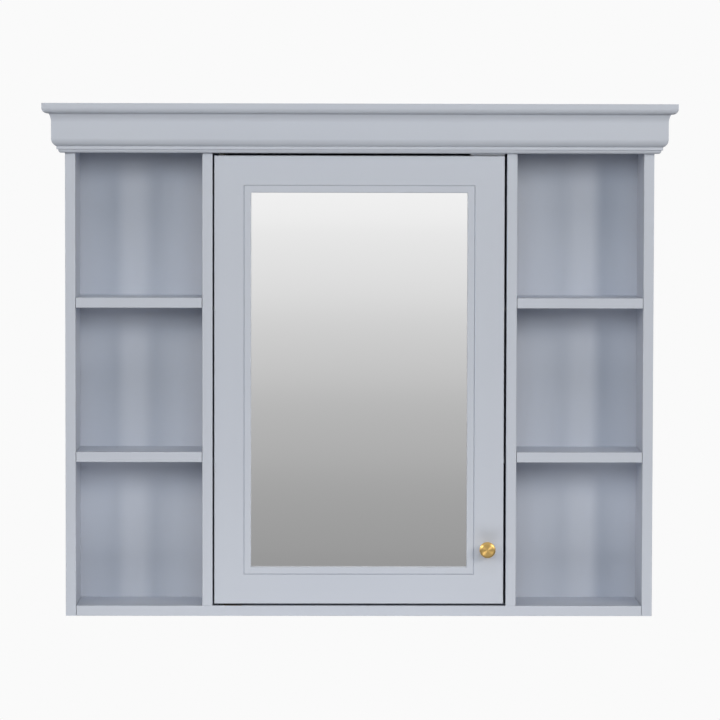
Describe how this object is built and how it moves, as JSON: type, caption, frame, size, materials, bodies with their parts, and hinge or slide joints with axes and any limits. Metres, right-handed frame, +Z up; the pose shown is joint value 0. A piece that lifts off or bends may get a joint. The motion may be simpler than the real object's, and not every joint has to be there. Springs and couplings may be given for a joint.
{
  "type": "mirror cabinet",
  "caption": "Wall-hung bathroom cabinet: a mirrored door between open niches, under a moulded crown; the door swings on pivot hinges and the inner shelves lift out.",
  "frame": {"origin": "on the wall plane, midway between the two wall-screw holes in the hanging rail, 650 mm above the case's underside", "axes": "+Z up, +X to the viewer's right, +Y into the wall; the door faces -Y"},
  "size_m": [0.924, 0.167, 0.75],
  "materials": {
    "painted_board": "satin pale blue-grey paint on board",
    "painted_panel": "matt pale blue-grey paint on a thin panel",
    "bare_wood": "sanded, unpainted",
    "dowel_wood": "fluted beech dowel, unfinished",
    "mirror": "silvered float glass",
    "turned_brass": "turned and brushed in circles",
    "hinge_brass": "brushed",
    "steel": "zinc-plated",
    "black_nylon": "moulded",
    "grey_plastic": "moulded",
    "magnet": "sintered ferrite"
  },
  "bodies": {
    "case": {"back_panel": "painted_panel", "bottom_board": "painted_board", "case_dowels": "dowel_wood", "catch_body": "grey_plastic", "catch_magnet": "magnet", "catch_poles": "steel", "catch_screws": "steel", "crown_bead_front": "painted_board", "crown_bead_left": "painted_board", "crown_bead_right": "painted_board", "crown_cap": "painted_board", "crown_fascia_front": "painted_board", "crown_fascia_left": "painted_board", "crown_fascia_right": "painted_board", "crown_screws": "steel", "hanging_rail": "bare_wood", "header_rail": "painted_board", "niche_shelf_left_lower": "painted_board", "niche_shelf_left_upper": "painted_board", "niche_shelf_right_lower": "painted_board", "niche_shelf_right_upper": "painted_board", "partition_left": "painted_board", "partition_right": "painted_board", "pivot_leaf_case_lower": "hinge_brass", "pivot_leaf_case_upper": "hinge_brass", "pivot_pins": "steel", "pivot_screws_case": "steel", "pivot_washers": "black_nylon", "shelf_dowels": "dowel_wood", "shelf_pins": "steel", "side_panel_left": "painted_board", "side_panel_right": "painted_board", "top_board": "painted_board"},
    "door": {"door_stile_left": "painted_board", "door_stile_right": "painted_board", "door_rail_bottom": "painted_board", "door_rail_top": "painted_board", "door_dowels": "dowel_wood", "mirror_strip_bottom": "painted_board", "mirror_strip_left": "painted_board", "mirror_strip_right": "painted_board", "mirror_strip_top": "painted_board", "mirror_glass": "mirror", "door_backing_board": "painted_panel", "retaining_clips": "steel", "retaining_clip_screws": "steel", "knob": "turned_brass", "knob_screw": "steel", "strike_plate": "steel", "strike_screws": "steel", "pivot_leaf_door_lower": "hinge_brass", "pivot_leaf_door_upper": "hinge_brass", "pivot_screws_door": "steel"},
    "inner_shelf_lower": {"inner_shelf_lower": "painted_board"},
    "inner_shelf_upper": {"inner_shelf_upper": "painted_board"}
  },
  "joints": [
    {"name": "door_swing", "type": "hinge", "parent": "case", "child": "door", "pos_m": [-0.202, -0.1275, -0.3], "axis": [0, 0, -1], "range_deg": [0, 110]},
    {"name": "inner_shelf_lower_lift", "type": "slide", "parent": "case", "child": "inner_shelf_lower", "axis": [0, 0, 1], "range_m": [0, 0.025]},
    {"name": "inner_shelf_upper_lift", "type": "slide", "parent": "case", "child": "inner_shelf_upper", "axis": [0, 0, 1], "range_m": [0, 0.025]}
  ]
}
